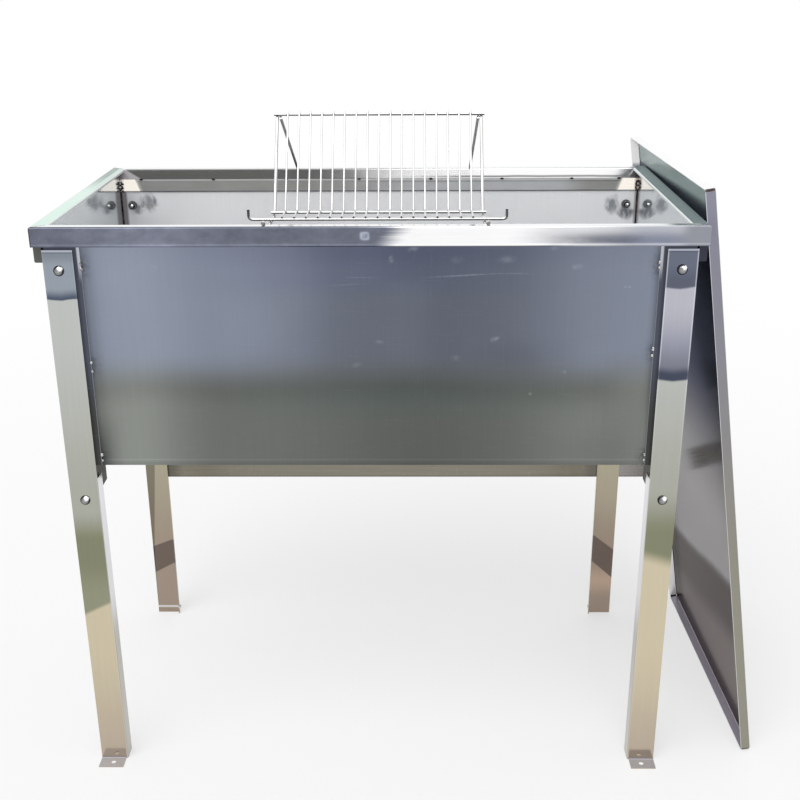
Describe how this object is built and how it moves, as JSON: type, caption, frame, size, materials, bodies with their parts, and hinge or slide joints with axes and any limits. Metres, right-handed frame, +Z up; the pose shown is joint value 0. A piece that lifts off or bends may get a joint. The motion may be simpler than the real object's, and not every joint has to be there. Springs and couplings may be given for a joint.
{
  "type": "uncapping tank",
  "caption": "Open stainless tank on bolted strap legs for uncapping honeycomb, with a wire frame rest, lift-out strainer, outlet with swing gate, and a loose tray lid leaning on one end.",
  "frame": {"origin": "on the floor, at the centre of the four foot holes", "axes": "+X along the tank to the right seen from the front, +Y from the front to the rear, +Z up"},
  "size_m": [1.2179, 0.5781, 1.093],
  "materials": {
    "wall_steel": "satin sheet",
    "panel_steel": "bright sheet",
    "inner_steel": "bright sheet",
    "rim_steel": "bright folded sheet",
    "leg_steel": "bright folded sheet",
    "bracket_steel": "dull sheet",
    "fastener_steel": "polished",
    "rest_wire": "bright wire",
    "strainer_steel": "satin sheet",
    "gate_steel": "machined",
    "seal_rubber": "matt",
    "lid_steel": "bright sheet"
  },
  "bodies": {
    "tank": {"front_wall": "wall_steel", "rear_wall": "wall_steel", "left_end_panel": "panel_steel", "right_end_panel": "panel_steel", "floor_pan": "inner_steel", "rim_front": "rim_steel", "rim_rear": "rim_steel", "rim_left": "rim_steel", "rim_right": "rim_steel", "end_rail_left": "rim_steel", "end_rail_right": "rim_steel", "leg_front_left": "leg_steel", "leg_front_right": "leg_steel", "leg_rear_left": "leg_steel", "leg_rear_right": "leg_steel", "leg_bracket_front_left": "bracket_steel", "leg_bracket_front_right": "bracket_steel", "leg_bracket_rear_left": "bracket_steel", "leg_bracket_rear_right": "bracket_steel", "rear_brace": "bracket_steel", "leg_bolts": "fastener_steel", "leg_washers": "fastener_steel", "leg_cap_nuts": "fastener_steel", "strainer_ledge_left": "inner_steel", "strainer_ledge_right": "inner_steel", "outlet_pipe": "gate_steel", "gate_body": "gate_steel", "gate_seal": "seal_rubber", "gate_pivot_bolt": "fastener_steel", "gate_stud": "fastener_steel"},
    "lid": {"lid": "lid_steel"},
    "frame_rest": {"rest_front_rail": "rest_wire", "rest_knee_rail": "rest_wire", "rest_top_rail": "rest_wire", "rest_shelf_rods": "rest_wire", "rest_back_rods": "rest_wire", "rest_left_arm": "rest_wire", "rest_right_arm": "rest_wire", "rest_left_stay": "rest_wire", "rest_right_stay": "rest_wire"},
    "strainer": {"strainer_frame": "strainer_steel", "strainer_plate": "strainer_steel"},
    "gate_flap": {"gate_flap": "gate_steel"},
    "gate_wing_nut": {"gate_wing_nut": "fastener_steel"}
  },
  "joints": [
    {"name": "lid_lift", "type": "slide", "parent": "tank", "child": "lid", "axis": [0, 0, 1], "range_m": [0, 0.5]},
    {"name": "rest_lift", "type": "slide", "parent": "tank", "child": "frame_rest", "axis": [0, 0, 1], "range_m": [0, 0.25]},
    {"name": "strainer_lift", "type": "slide", "parent": "tank", "child": "strainer", "axis": [0, 0, 1], "range_m": [0, 0.15]},
    {"name": "gate_swing", "type": "hinge", "parent": "tank", "child": "gate_flap", "pos_m": [-0.5315, 0, 0.63], "axis": [1, 0, 0], "range_deg": [0, 80]},
    {"name": "wing_nut_turn", "type": "hinge", "parent": "tank", "child": "gate_wing_nut", "pos_m": [-0.54, 0, 0.558], "axis": [1, 0, 0], "range_deg": [0, 720]}
  ]
}
